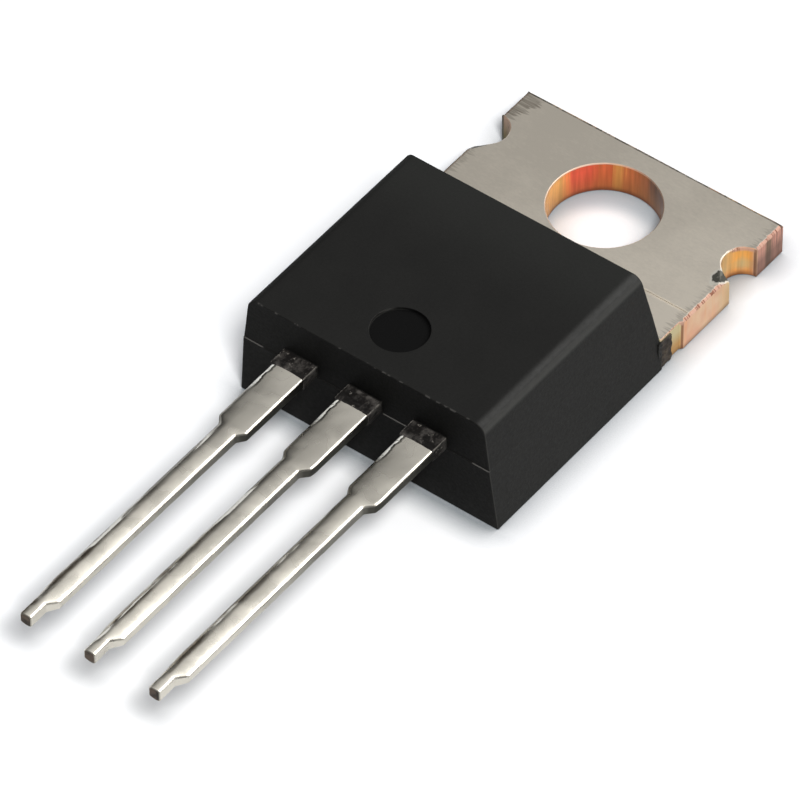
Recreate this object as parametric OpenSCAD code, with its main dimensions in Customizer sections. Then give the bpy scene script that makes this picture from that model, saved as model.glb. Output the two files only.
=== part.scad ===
// Three-lead voltage regulator in a TO-220 power package.
//
// A copper tab and its die pad are stamped in one piece with the centre lead.
// Two more leads stand beside it. The silicon die is soldered to the pad and
// wired to the leads, and a moulded epoxy body holds all of it together.
//
// Millimetres. The origin is on the axis of the mounting hole, in the plane of
// the tab's back face. X runs across the package, +Y to the free end of the
// tab, -Y along the leads, and +Z up through the body.

/* [Tab] */
// Width of the tab and of the foot of the moulded body
package_width = 10.2; // [9.7:0.05:10.6]
// Thickness of the copper tab
tab_thickness = 1.25; // [1.1:0.05:1.4]
// Diameter of the mounting hole
hole_d = 3.8; // [3.4:0.05:4.1]
// Centre of the mounting hole to the free end of the tab
hole_to_end = 2.75; // [2.5:0.05:3.1]
// Centre of the mounting hole to the back of the body, on the tab
hole_to_body = 3.77; // [3.6:0.01:4]
// Radius of the round notch in each side of the tab
notch_r = 0.75; // [0.5:0.05:0.9]
// Distance of the notches from the hole's centre, towards the free end
notch_offset = 0.57; // [0.3:0.01:0.8]
// Distance of the notches' centres outside the tab's sides
notch_outset = 0.04; // [0:0.01:0.2]
// Length of the corner that is pressed down beside each notch
dent_length = 0.72; // [0.5:0.02:0.9]
// Width of that corner, from the tab's side
dent_width = 0.47; // [0.3:0.01:0.6]
// Depth of that corner at the tab's side
dent_depth = 0.25; // [0.1:0.01:0.4]
// Length by which that corner reaches along the notch
dent_lap = 0.14; // [0.05:0.01:0.2]
// Length of the narrower neck between the ears and the body
neck_length = 1.05; // [0.8:0.05:1.3]
// Step in from the ears to the neck, on each side
neck_inset = 0.1; // [0.05:0.01:0.2]
// Distance of the score line across the ears from the neck
score_to_neck = 0.45; // [0.3:0.01:0.6]
// Depth of the score line
score_depth = 0.04; // [0.02:0.01:0.08]

/* [Moulded body] */
// Height of the body above the back face of the tab
package_height = 4.45; // [4.3:0.05:4.8]
// Length of the body from its back to its front, on the tab
body_length = 8.8; // [8.4:0.05:9.3]
// Slope of the sides below the parting line, in degrees
lower_draft = 5.5; // [3:0.5:7]
// Slope of the sides above the parting line, in degrees
upper_draft = 7; // [3:0.5:9]
// Slope of the back face, in degrees
back_draft = 11; // [5:0.5:15]
// Slope of the front face below the parting line, in degrees
front_draft = 3; // [1:0.5:5]
// Radius along the two upper side edges
side_edge_r = 0.38; // [0.2:0.02:0.6]
// Radius along the upper back edge
back_edge_r = 0.12; // [0.05:0.01:0.25]
// Width of the ledge where the two mould halves meet
parting_ledge = 0.03; // [0.01:0.01:0.05]
// Diameter of the ejector-pin recess in the top
recess_d = 1.95; // [1.5:0.05:2.4]
// Depth of the ejector-pin recess
recess_depth = 0.1; // [0.05:0.01:0.2]
// Distance of the recess from the front face
recess_to_front = 1.78; // [1.4:0.02:2.4]
// Length of the resin that runs out along each lead
collar_length = 0.75; // [0.4:0.05:1]
// Thickness of that resin
collar_wall = 0.03; // [0.02:0.01:0.05]
// Length of the resin foot beside each neck
foot_length = 0.57; // [0.3:0.01:0.7]
// Distance of the feet's tops below the tab's upper face
foot_drop = 0.03; // [0.01:0.01:0.1]

/* [Leads] */
// Spacing of the leads
lead_pitch = 2.54; // [2.5:0.01:2.6]
// Thickness of the leads
lead_thickness = 0.5; // [0.4:0.02:0.6]
// Height of the leads' lower face above the back of the tab
lead_height = 2.6; // [2.4:0.05:2.75]
// Length of the leads from the front face to their tips
lead_length = 13.65; // [12.7:0.05:14.2]
// Width of the leads beside the body
shoulder_width = 1.3; // [1.1:0.02:1.5]
// Length of the wide part, from the front face
shoulder_length = 3.4; // [2.8:0.05:4]
// Width of the leads beyond the shoulder
lead_width = 0.86; // [0.7:0.02:1]
// Length of the taper from the shoulder to the narrow part
shoulder_taper = 0.4; // [0.2:0.05:0.8]
// Width of the leads at their tips
tip_width = 0.42; // [0.3:0.02:0.6]
// Length of the narrow tip
tip_length = 0.6; // [0.4:0.05:1]
// Length of the taper down to the tip
tip_taper = 0.3; // [0.2:0.05:0.6]
// Radius of the long edges beside the body
shoulder_edge_r = 0.06; // [0.03:0.01:0.1]
// Radius of the long edges beyond the shoulder
lead_edge_r = 0.12; // [0.05:0.01:0.15]

/* [Lead frame inside the body] */
// Slope of the centre lead down to the die pad, in degrees
downset_angle = 60; // [50:1:65]
// Length of each lead inside the front face before it bends or widens
root_length = 0.45; // [0.35:0.05:0.6]
// Resin beside the die pad at the foot of the body
pad_wall = 0.7; // [0.5:0.05:1]
// Width of the rebate that keys the pad into the resin
key_width = 0.4; // [0.2:0.05:0.6]
// Height of that rebate
key_height = 0.4; // [0.25:0.05:0.6]
// Width of the bonding post on each outer lead
post_width = 2.1; // [1.7:0.05:2.3]
// Length of the bonding posts
post_length = 1.25; // [1:0.05:1.5]
// Diameter of the resin lock hole in each post
lock_hole_d = 0.6; // [0.4:0.05:0.7]

/* [Die and bonds] */
// Width of the silicon die
die_width = 2.4; // [1.8:0.1:3]
// Length of the silicon die
die_length = 2; // [1.6:0.1:2.6]
// Thickness of the silicon die
die_thickness = 0.28; // [0.2:0.02:0.4]
// Distance from the front of the pad to the die
die_setback = 1.6; // [1.3:0.05:2.2]
// Thickness of the solder under the die
solder_thickness = 0.05; // [0.03:0.01:0.1]
// Solder that shows round the die
solder_margin = 0.06; // [0.03:0.01:0.15]
// Diameter of the bond wires
wire_d = 0.25; // [0.15:0.01:0.3]
// Length of the flattened foot at each end of a wire
bond_length = 0.45; // [0.35:0.05:0.6]
// Height of the loop in the wires to the outer leads
wire_loop = 0.45; // [0.3:0.05:0.6]

/* [Hidden] */
$fn = 64;

// Small overlap that lets cutters run past the faces they open
run_out = 1;
tab_side = package_width / 2;
neck_side = tab_side - neck_inset;
pad_side = tab_side - pad_wall;
body_back = -hole_to_body;
body_front = body_back - body_length;
parting = lead_height;
lead_top = lead_height + lead_thickness;

// Die pad: it ends where the upper face of the sloping lead meets its top
bend_y = body_front + root_length;
slope_drop = lead_thickness / cos(downset_angle);
pad_front = bend_y + (lead_height + slope_drop - tab_thickness) / tan(downset_angle);

// Die and its bonds
die_y = pad_front + die_setback + die_length / 2;
die_floor = tab_thickness + solder_thickness;
die_top = die_floor + die_thickness;
post_x = lead_pitch - shoulder_width / 2 + post_width / 2;
post_back = bend_y + post_length;
die_bond = [die_width / 2 - bond_length, die_y];
post_bond = [post_x, post_back - post_length / 2];
bond_squash = 0.6;
wire_rings = 12;

// Pressed corner: its inner edge runs from beside the notch to the tab's side
notch_x = tab_side + notch_outset;
notch_end = notch_offset - sqrt(notch_r ^ 2 - notch_outset ^ 2);
dent_yaw = atan2(-dent_length, dent_width);
dent_across = dent_width * (dent_length - dent_lap) / norm([dent_width, dent_length]);
dent_tilt = atan2(dent_depth, dent_across);

// ---- Outlines ----

// A bar's section, w by t, with all four corners rounded
module rounded_section(w, t, r) {
    square([w - 2 * r, t], center = true);
    square([w, t - 2 * r], center = true);
    for (x = [-1, 1], z = [-1, 1])
        translate([x * (w / 2 - r), z * (t / 2 - r)]) circle(r);
}

// A rounded bar that runs from y0 down to y1 at the height of the leads
module bar(y0, y1, w, r) {
    translate([0, y0, lead_height + lead_thickness / 2])
        rotate([90, 0, 0])
            linear_extrude(y0 - y1) rounded_section(w, lead_thickness, r);
}

// The tapered piece between two bars of different widths
module taper(y0, y1, w0, w1, r0, r1) {
    skin = 0.001;
    hull($fn = 32) {
        bar(y0, y0 - skin, w0, r0);
        bar(y1 + skin, y1, w1, r1);
    }
}

// One straight lead from y0, inside the body, to its tip. The narrower bars run
// back through the wider ones.
module lead_blade(y0) {
    y_shoulder = body_front - shoulder_length;
    y_neck = y_shoulder - shoulder_taper;
    y_tip = body_front - lead_length;
    y_point = y_tip + tip_length;
    y_cut = y_point + tip_taper;
    bar(y0, y_shoulder, shoulder_width, shoulder_edge_r);
    taper(y_shoulder, y_neck, shoulder_width, lead_width, shoulder_edge_r, lead_edge_r);
    bar(y0, y_cut, lead_width, lead_edge_r);
    taper(y_cut, y_point, lead_width, tip_width, lead_edge_r, lead_edge_r);
    bar(y_neck, y_tip, tip_width, lead_edge_r);
}

// ---- Moulded body ----

// Section across the body: two drafted halves and rounded upper edges
module cross_section() {
    low_x = tab_side - parting * tan(lower_draft);
    up_x = low_x - parting_ledge;
    arc_z = package_height - side_edge_r;
    tan_z = arc_z + side_edge_r * sin(upper_draft);
    tan_x = up_x - (tan_z - parting) * tan(upper_draft);
    arc_x = tan_x - side_edge_r * cos(upper_draft);
    right = [
        [tab_side, 0], [low_x, parting], [up_x, parting],
        [tan_x, tan_z], [arc_x, package_height]
    ];
    left = [for (i = [len(right) - 1:-1:0]) [-right[i].x, right[i].y]];
    polygon(concat(right, left));
    for (s = [-1, 1]) translate([s * arc_x, arc_z]) circle(side_edge_r);
}

// Section along the body: upright front, sloping back that clears the tab
module long_section() {
    foot_y = body_front - parting_ledge + parting * tan(front_draft);
    arc_z = package_height - back_edge_r;
    tan_z = arc_z + back_edge_r * sin(back_draft);
    tan_y = body_back - (tan_z - tab_thickness) * tan(back_draft);
    arc_y = tan_y - back_edge_r * cos(back_draft);
    polygon([
        [foot_y, 0], [body_front - parting_ledge, parting],
        [body_front, parting], [body_front, package_height],
        [arc_y, package_height], [tan_y, tan_z],
        [body_back, tab_thickness], [body_back, 0]
    ]);
    translate([arc_y, arc_z]) circle(back_edge_r);
}

module body_block() {
    intersection() {
        rotate([90, 0, 0])
            linear_extrude(2 * (body_length + hole_to_body + run_out), center = true)
                cross_section();
        rotate([90, 0, 90])
            linear_extrude(2 * package_width, center = true) long_section();
    }
}

// Resin that ran out along the root of a lead
module collar(x) {
    w = shoulder_width + 2 * collar_wall;
    t = lead_thickness + 2 * collar_wall;
    translate([x - w / 2, body_front - collar_length, lead_height - collar_wall])
        cube([w, collar_length + root_length / 2, t]);
}

// Resin that filled the recess beside the neck
module foot(side) {
    depth = pad_wall / 2;
    x0 = side > 0 ? tab_side - depth : -tab_side;
    translate([x0, body_back - depth, 0])
        cube([depth, depth + foot_length, tab_thickness - foot_drop]);
}

module mould_body() {
    color("#2a2a2c")
        difference() {
            union() {
                body_block();
                for (i = [-1:1]) collar(i * lead_pitch);
                for (s = [-1, 1]) foot(s);
            }
            translate([0, body_front + recess_to_front, package_height - recess_depth])
                cylinder(d = recess_d, h = recess_depth + run_out);
            heat_tab();
            input_lead();
            output_lead();
            die_solder();
            die();
            input_wire();
            output_wire();
            ground_wire();
        }
}

// ---- Lead frame ----

// Ears, neck and die pad, before they are pierced
module tab_outline() {
    neck_y = body_back + neck_length;
    right = [
        [pad_side, pad_front], [pad_side, body_back], [neck_side, body_back],
        [neck_side, neck_y], [tab_side, neck_y], [tab_side, hole_to_end]
    ];
    polygon(concat(right, [for (i = [len(right) - 1:-1:0]) [-right[i].x, right[i].y]]));
}

// Rebate round the underside of the pad, filled by the resin
module pad_key() {
    for (s = [-1, 1])
        translate([s * pad_side - key_width, pad_front - run_out, -run_out])
            cube([2 * key_width, body_back - key_width - pad_front + run_out,
                key_height + run_out]);
    translate([-package_width, pad_front - key_width, -run_out])
        cube([2 * package_width, 2 * key_width, key_height + run_out]);
}

// Flat corner pressed down where a notch meets the tab's side
module pressed_corner() {
    intersection() {
        translate([tab_side - dent_width, notch_end + dent_lap, tab_thickness])
            rotate([0, 0, dent_yaw])
                rotate([-dent_tilt, 0, 0])
                    translate([-run_out, 0, 0])
                        cube([3 * run_out, 2 * run_out, 2 * run_out]);
        translate([0, notch_offset - 2 * run_out, 0])
            cube([package_width, 2 * run_out, 2 * tab_thickness]);
    }
}

// Fine score line across the upper face, just clear of the neck
module score_line() {
    side = score_depth * sqrt(2);
    translate([0, body_back + neck_length + score_to_neck, tab_thickness])
        rotate([45, 0, 0]) cube([2 * package_width, side, side], center = true);
}

// Side view of the centre lead, from the front face down to the pad
module downset_profile() {
    low_z = lead_height - (pad_front - bend_y) * tan(downset_angle);
    inside = pad_front + key_width;
    polygon([
        [body_front, lead_height], [bend_y, lead_height],
        [pad_front, low_z], [inside, low_z], [inside, tab_thickness],
        [pad_front, tab_thickness],
        [bend_y + (slope_drop - lead_thickness) / tan(downset_angle), lead_top],
        [body_front, lead_top]
    ]);
}

module heat_tab() {
    color("#aaa296")
        union() {
            difference() {
                linear_extrude(tab_thickness) tab_outline();
                translate([0, 0, -run_out])
                    cylinder(d = hole_d, h = tab_thickness + 2 * run_out);
                for (s = [-1, 1])
                    translate([s * notch_x, notch_offset, -run_out])
                        cylinder(r = notch_r, h = tab_thickness + 2 * run_out);
                pressed_corner();
                mirror([1, 0, 0]) pressed_corner();
                score_line();
                pad_key();
            }
            rotate([90, 0, 90])
                linear_extrude(shoulder_width, center = true) downset_profile();
            lead_blade(bend_y);
        }
}

// Outer lead on the +X side, with its bonding post inside the body
module outer_lead() {
    inner_x = lead_pitch - shoulder_width / 2;
    difference() {
        union() {
            translate([lead_pitch, 0, 0]) lead_blade(post_back);
            translate([inner_x, bend_y, lead_height])
                cube([post_width, post_length, lead_thickness]);
        }
        translate([inner_x + post_width - lock_hole_d, bend_y + lock_hole_d, lead_height - run_out])
            cylinder(d = lock_hole_d, h = lead_thickness + 2 * run_out);
    }
}

module input_lead() {
    color("#c6c2ba") mirror([1, 0, 0]) outer_lead();
}

module output_lead() {
    color("#c6c2ba") outer_lead();
}

// ---- Die and bonds ----

module die_solder() {
    color("#8d9096")
        translate([-die_width / 2 - solder_margin, die_y - die_length / 2 - solder_margin,
            tab_thickness])
            cube([die_width + 2 * solder_margin, die_length + 2 * solder_margin,
                solder_thickness]);
}

module die() {
    color("#4c5666")
        translate([-die_width / 2, die_y - die_length / 2, die_floor])
            cube([die_width, die_length, die_thickness]);
}

// Eight points round a wire at c: w wide, h high, pitched up by the slope
function ring(c, yaw, slope, w, h) = [
    for (k = [0:7])
        let (
            across = w / 2 / cos(22.5) * cos(45 * k + 22.5),
            up = h / 2 / cos(22.5) * sin(45 * k + 22.5)
        )
        c + across * [-sin(yaw), cos(yaw), 0]
            + up * [-sin(slope) * cos(yaw), -sin(slope) * sin(yaw), cos(slope)]
];

// A bond wire from surface point a to surface point b, level at both ends
module bond_wire(a, b, loop) {
    span = norm([b.x - a.x, b.y - a.y]);
    yaw = atan2(b.y - a.y, b.x - a.x);
    flat = wire_d * bond_squash;
    broad = wire_d / sqrt(bond_squash);
    run = span - bond_length;
    rise = b.z - a.z;
    function at(s, z) = [a.x + s * cos(yaw), a.y + s * sin(yaw), z];
    function height(t) = a.z + wire_d / 2 + rise * (3 * t ^ 2 - 2 * t ^ 3)
        + loop * sin(180 * t) ^ 2;
    function slope(t) = atan(
        (rise * 6 * t * (1 - t) + loop * 2 * PI * sin(180 * t) * cos(180 * t)) / run);
    rings = concat(
        [ring(at(-bond_length / 2, a.z + flat / 2), yaw, 0, broad, flat)],
        [ring(at(bond_length / 2, a.z + flat / 2), yaw, 0, broad, flat)],
        [for (i = [1:wire_rings])
            let (t = i / (wire_rings + 1))
            ring(at(bond_length / 2 + t * run, height(t)), yaw, slope(t), wire_d, wire_d)],
        [ring(at(span - bond_length / 2, b.z + flat / 2), yaw, 0, broad, flat)],
        [ring(at(span + bond_length / 2, b.z + flat / 2), yaw, 0, broad, flat)]
    );
    n = len(rings);
    polyhedron(
        [for (r = rings) each r],
        concat(
            [[for (k = [0:7]) k]],
            [for (i = [0:n - 2], k = [0:7])
                [8 * i + k, 8 * i + 8 + k, 8 * i + (k + 1) % 8]],
            [for (i = [0:n - 2], k = [0:7])
                [8 * i + 8 + k, 8 * i + 8 + (k + 1) % 8, 8 * i + (k + 1) % 8]],
            [[for (k = [7:-1:0]) 8 * (n - 1) + k]]
        )
    );
}

module input_wire() {
    color("#d6d2c8")
        bond_wire([-die_bond.x, die_bond.y, die_top],
            [-post_bond.x, post_bond.y, lead_top], wire_loop);
}

module output_wire() {
    color("#d6d2c8")
        bond_wire([die_bond.x, die_bond.y, die_top],
            [post_bond.x, post_bond.y, lead_top], wire_loop);
}

// The ground wire goes straight down to the pad in front of the die
module ground_wire() {
    color("#d6d2c8")
        bond_wire([0, die_y - die_length / 2 + bond_length, die_top],
            [0, pad_front + die_setback / 2 - bond_length / 2, tab_thickness], wire_loop);
}

mould_body();
heat_tab();
input_lead();
output_lead();
die_solder();
die();
input_wire();
output_wire();
ground_wire();
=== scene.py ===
"""Dresses a packed three-lead voltage regulator in a TO-220 power package.

The moulded body, the copper tab and the tinned leads are rebuilt with their rolled
edges, resin flash and punched corners. The die, its solder and the bond wires stay
as packed and get their finishes. A floor, lamps and a camera make a plain studio.

Meshes are built in millimetres and turned to metres when they are finished.
"""

import math
from types import SimpleNamespace

import bmesh
import bpy
from bpy.props import FloatProperty, FloatVectorProperty, PointerProperty
from bpy.types import Operator, Panel, PropertyGroup
from mathutils import Matrix, Vector, noise
from mathutils.geometry import tessellate_polygon


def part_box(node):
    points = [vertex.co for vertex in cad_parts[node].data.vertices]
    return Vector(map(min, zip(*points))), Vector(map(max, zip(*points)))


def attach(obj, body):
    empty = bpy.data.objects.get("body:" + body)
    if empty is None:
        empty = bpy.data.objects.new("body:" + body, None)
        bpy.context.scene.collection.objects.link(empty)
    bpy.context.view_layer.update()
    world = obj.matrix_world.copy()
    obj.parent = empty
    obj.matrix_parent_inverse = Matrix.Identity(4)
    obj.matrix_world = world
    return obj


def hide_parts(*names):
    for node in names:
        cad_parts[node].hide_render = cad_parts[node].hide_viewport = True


bl_info = {
    "name": "Voltage regulator looks",
    "version": (1, 0, 0),
    "blender": (4, 5, 0),
    "location": "3D View > Sidebar > Regulator",
    "description": "Dresses a packed three-lead voltage regulator",
    "category": "Object",
}

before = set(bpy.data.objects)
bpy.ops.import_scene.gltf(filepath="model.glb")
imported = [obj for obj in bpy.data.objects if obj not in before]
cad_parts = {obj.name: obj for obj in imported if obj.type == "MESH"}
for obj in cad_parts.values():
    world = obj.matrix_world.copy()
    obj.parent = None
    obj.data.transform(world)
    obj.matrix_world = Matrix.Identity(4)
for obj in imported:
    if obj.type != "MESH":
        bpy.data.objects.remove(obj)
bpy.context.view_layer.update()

MM = 0.001
LEADS = {"input_lead": -1, "centre_lead": 0, "output_lead": 1}
BODY_BOX = [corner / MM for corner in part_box("mould_body")]
TAB_BOX = [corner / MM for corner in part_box("heat_tab")]
LEAD_BOX = [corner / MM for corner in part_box("output_lead")]

# How far cutting tools reach past what they cut
CLEAR = 1.0
# How far the straight part of a lead runs into the body
SUNK = 0.45


# ---- Settings ----


def length(name, default, description):
    """A length property, with its default in millimetres."""
    return FloatProperty(
        name=name, description=description, default=default * MM, min=0.0,
        unit="LENGTH", precision=5,
    )


def colour(name, default, description):
    """A plain colour property."""
    return FloatVectorProperty(
        name=name, description=description, default=default, size=3, min=0.0,
        max=1.0, subtype="COLOR",
    )


class RegulatorBody(PropertyGroup):
    """Sizes of the moulded body"""

    half_width: length("Half width", BODY_BOX[1].x, "Middle of the body to its foot")
    height: length("Height", BODY_BOX[1].z, "Height above the back of the tab")
    back: length("Back", 3.77, "Hole's centre to the back of the body")
    depth: length("Depth", 8.8, "Back of the body to its front face")
    parting: length("Parting line", 2.6, "Height of the parting line")
    ledge: length("Parting ledge", 0.03, "Step in front where the mould halves meet")
    side_ledge: length("Side ledge", 0.004, "The same step along the sides")
    side_round: length("Side rounding", 0.46, "Radius along the upper sides")
    back_round: length("Back rounding", 0.12, "Radius along the upper back edge")
    edge_round: length("Edge rounding", 0.03, "Rounding of the other edges")
    recess_radius: length("Recess radius", 0.975, "Radius of the ejector-pin recess")
    recess_depth: length("Recess depth", 0.1, "Depth of the ejector-pin recess")
    recess_setback: length("Recess setback", 1.78, "Front face to the recess's centre")
    collar: length("Collar length", 0.75, "Length of the resin along each lead")
    collar_wall: length("Collar wall", 0.02, "Thickness of that resin")


class RegulatorTab(PropertyGroup):
    """Sizes of the copper tab"""

    half_width: length("Half width", TAB_BOX[1].x, "Middle of the tab to its side")
    end: length("Free end", TAB_BOX[1].y, "Hole's centre to the end of the tab")
    thickness: length("Thickness", 1.25, "Thickness of the tab")
    hole_radius: length("Hole radius", 1.9, "Radius of the mounting hole")
    notch_radius: length("Notch radius", 0.75, "Radius of the side notches")
    notch_offset: length("Notch offset", 0.57, "Hole's centre to the notches")
    notch_outset: length("Notch outset", 0.04, "Notch centres outside the sides")
    neck: length("Neck", 1.05, "Length of the neck behind the body")
    score: length("Score line", 2.27, "Hole's centre to the score line")
    neck_inset: length("Neck inset", 0.1, "Step in from the ears to the neck")
    pad_half: length("Pad half width", 4.4, "Middle of the die pad to its side")
    pad_front: length("Pad front", 10.763, "Hole's centre to the front of the pad")
    rebate: length("Rebate", 0.4, "Width and height of the rebate under the pad")
    side_roll: length("Side roll", 0.13, "Rolled edge along the punched sides")
    end_roll: length("End roll", 0.09, "Rolled edge along the free end")
    edge_roll: length("Edge roll", 0.04, "Rolled edge elsewhere")
    under_roll: length("Under roll", 0.05, "Rolled edge round the underside")


class RegulatorLeads(PropertyGroup):
    """Sizes of the leads"""

    pitch: length("Pitch", 2.54, "Spacing of the leads")
    thickness: length("Thickness", LEAD_BOX[1].z - LEAD_BOX[0].z, "Thickness")
    underside: length("Underside", LEAD_BOX[0].z, "Height of the lower face")
    reach: length("Reach", -LEAD_BOX[0].y, "Hole's centre to the tips")
    shoulder: length("Shoulder width", 1.3, "Width beside the body")
    shank: length("Shank width", 0.86, "Width beyond the shoulder")
    tip: length("Tip width", 0.46, "Width of the tip")
    post: length("Post width", 2.1, "Width of the bonding posts")
    post_depth: length("Post depth", 1.25, "Length of the bonding posts")


class RegulatorFinish(PropertyGroup):
    """Colours of the finishes"""

    epoxy: colour("Epoxy", (0.0060, 0.0059, 0.0052), "Moulding compound")
    resin: colour("Resin film", (0.0100, 0.0090, 0.0083), "Thin resin over the leads")
    nickel: colour("Nickel", (0.695, 0.637, 0.545), "Plated faces of the tab")
    copper: colour("Copper", (0.68, 0.15, 0.065), "Bare copper in the hole")
    brass: colour("Flashed copper", (0.98, 0.64, 0.26), "Thinly plated copper")
    pink: colour("Sheared copper", (0.73, 0.40, 0.26), "Copper on the outer sides")
    tin: colour("Tin", (0.70, 0.665, 0.585), "Plated leads")
    floor: colour("Floor", (0.76, 0.77, 0.79), "Studio floor")
    floor_mirrored: colour("Mirrored floor", (0.66, 0.66, 0.66), "Floor seen in metal")


def sizes(group):
    """A settings group's lengths in millimetres, by name."""
    names = type(group).__annotations__
    return SimpleNamespace(**{name: getattr(group, name) / MM for name in names})


def body_front(body):
    """Where the body's front face stands along Y."""
    return -body.back - body.depth


# ---- Mesh building ----


def mesh_object(name, bm):
    """A new object that holds the bmesh, smooth, with its faces outwards."""
    bmesh.ops.recalc_face_normals(bm, faces=bm.faces)
    for face in bm.faces:
        face.smooth = True
    mesh = bpy.data.meshes.new(name)
    bm.to_mesh(mesh)
    bm.free()
    piece = bpy.data.objects.new(name, mesh)
    bpy.context.scene.collection.objects.link(piece)
    return piece


def settle(piece):
    """Bakes a piece's modifiers into a plain mesh of its own."""
    graph = bpy.context.evaluated_depsgraph_get()
    mesh = bpy.data.meshes.new_from_object(
        piece.evaluated_get(graph), preserve_all_data_layers=True, depsgraph=graph
    )
    old = piece.data
    piece.modifiers.clear()
    piece.data = mesh
    mesh.name = piece.name
    if old.users == 0:
        bpy.data.meshes.remove(old)
    return piece


def combine(piece, other, operation):
    """Cuts another object from a piece, or joins it on, and removes it."""
    modifier = piece.modifiers.new(operation.title(), "BOOLEAN")
    modifier.operation = operation
    modifier.solver = "EXACT"
    modifier.object = other
    settle(piece)
    bpy.data.objects.remove(other)
    return piece


def block(low, high):
    """A plain block between two corners."""
    bm = bmesh.new()
    bmesh.ops.create_cube(bm, size=1.0)
    low, high = Vector(low), Vector(high)
    for vert in bm.verts:
        vert.co = Vector(
            (high[i] if vert.co[i] > 0 else low[i]) for i in range(3)
        )
    return mesh_object("block", bm)


def arc(centre, radius, start, sweep, count):
    """Points (x, y) along an arc. A full turn leaves out the last, as it is closed."""
    return [
        (centre[0] + radius * math.cos(start + sweep * i / count),
         centre[1] + radius * math.sin(start + sweep * i / count))
        for i in range(count + (abs(sweep) < math.tau))
    ]


def skin(bm, rows):
    """Adds the faces between closed rows of vertices."""
    for lower, upper in zip(rows, rows[1:]):
        for i in range(len(lower)):
            j = (i + 1) % len(lower)
            bm.faces.new((lower[i], lower[j], upper[j], upper[i]))


def capped(name, bm, rows):
    """The closed solid between rows of vertices, as a new object."""
    skin(bm, rows)
    bm.faces.new(rows[0][::-1])
    bm.faces.new(rows[-1])
    return mesh_object(name, bm)


def turned(centre, profile, segments=96):
    """An upright turned solid, from its profile of (radius, height)."""
    bm = bmesh.new()
    return capped("turned", bm, [
        [bm.verts.new((x, y, z)) for x, y in arc(centre, radius, 0, math.tau, segments)]
        for radius, z in profile
    ])


def cast_block(low, high, radius, cuts, wave, depth):
    """A block with rounded edges and an uneven cast surface."""
    bm = bmesh.new()
    bmesh.ops.create_cube(bm, size=1.0)
    bmesh.ops.subdivide_edges(bm, edges=bm.edges[:], cuts=cuts, use_grid_fill=True)
    low, high = Vector(low), Vector(high)
    for vert in bm.verts:
        spot = Vector(
            low[i] + (vert.co[i] + 0.5) * (high[i] - low[i]) for i in range(3)
        )
        core = Vector(
            min(max(spot[i], low[i] + radius), high[i] - radius) for i in range(3)
        )
        out = (spot - core).normalized()
        swell = noise.fractal(spot / wave, 1.0, 2.0, 3) * depth - depth
        vert.co = core + out * (radius + swell)
    return mesh_object("cast block", bm)


def refine(loop, step):
    """Adds points along an outline of (x, y, roll), at most a step apart."""
    points = []
    for start, end in zip(loop, loop[1:] + loop[:1]):
        start, end = Vector(start), Vector(end)
        count = max(1, math.ceil((end - start).xy.length / step))
        points += [start.lerp(end, i / count) for i in range(count)]
    return points


def rolled_plate(name, loops, low, high, under, steps=5):
    """A flat plate with rolled edges.

    Each loop lists (x, y, roll), with the metal on its left, and roll is the radius
    of the upper edge there. The first loop is the outline and the others are holes.
    """
    quarter = [math.radians(90) * i / steps for i in range(steps + 1)]
    bm = bmesh.new()
    caps = [[], []]
    for loop in loops:
        count = len(loop)
        inward = []
        for i in range(count):
            before = (loop[i] - loop[i - 1]).xy.normalized()
            after = (loop[(i + 1) % count] - loop[i]).xy.normalized()
            normals = [Vector((-d.y, d.x)) for d in (before, after)]
            middle = (normals[0] + normals[1]).normalized()
            inward.append(middle / max(middle.dot(normals[0]), 0.3))
        rows = []
        for upper, turns in ((False, quarter[::-1]), (True, quarter)):
            for turn in turns:
                row = []
                for point, way in zip(loop, inward):
                    radius = point.z if upper else under
                    inset = radius * (1 - math.cos(turn))
                    lift = radius * (1 - math.sin(turn))
                    row.append(bm.verts.new((
                        point.x + way.x * inset, point.y + way.y * inset,
                        high - lift if upper else low + lift,
                    )))
                rows.append(row)
        skin(bm, rows)
        caps[0].append(rows[0])
        caps[1].append(rows[-1])
    for cap in caps:
        flat = [vert for ring in cap for vert in ring]
        for triangle in tessellate_polygon([[v.co for v in ring] for ring in cap]):
            bm.faces.new([flat[i] for i in triangle])
    return mesh_object(name, bm)


def finish_piece(piece, material, slot, *nodes, crease=32):
    """Gives a piece its shading, scale and finish, and hands it to the frame."""
    piece.data.set_sharp_from_angle(angle=math.radians(crease))
    weighted = piece.modifiers.new("Weighted normals", "WEIGHTED_NORMAL")
    weighted.keep_sharp = True
    settle(piece)
    normals = [corner.vector.copy() for corner in piece.data.corner_normals]
    for face in piece.data.polygons:
        if abs(face.normal.z) > 0.99999:
            for corner in face.loop_indices:
                normals[corner] = face.normal.copy()
    piece.data.normals_split_custom_set(normals)
    piece.data.transform(Matrix.Scale(MM, 4))
    piece.data.materials.clear()
    piece.data.materials.append(material)
    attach(piece, "root")
    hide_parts(*nodes)
    return piece


# ---- Node building ----


def arithmetic(name, swapped=False):
    """A method that puts one math node between a value and what it meets."""
    def method(value, other):
        pair = (other, value) if swapped else (value, other)
        return value.nodes.math(name, *pair)
    return method


class Value:
    """A node's output. Arithmetic with it adds the nodes that work it out."""

    __add__, __radd__ = arithmetic("ADD"), arithmetic("ADD", swapped=True)
    __sub__, __rsub__ = arithmetic("SUBTRACT"), arithmetic("SUBTRACT", swapped=True)
    __mul__, __rmul__ = arithmetic("MULTIPLY"), arithmetic("MULTIPLY", swapped=True)
    __truediv__, __pow__ = arithmetic("DIVIDE"), arithmetic("POWER")

    def __init__(self, nodes, socket):
        self.nodes, self.socket = nodes, socket

    def __abs__(self):
        return self.nodes.math("ABSOLUTE", self)


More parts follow.
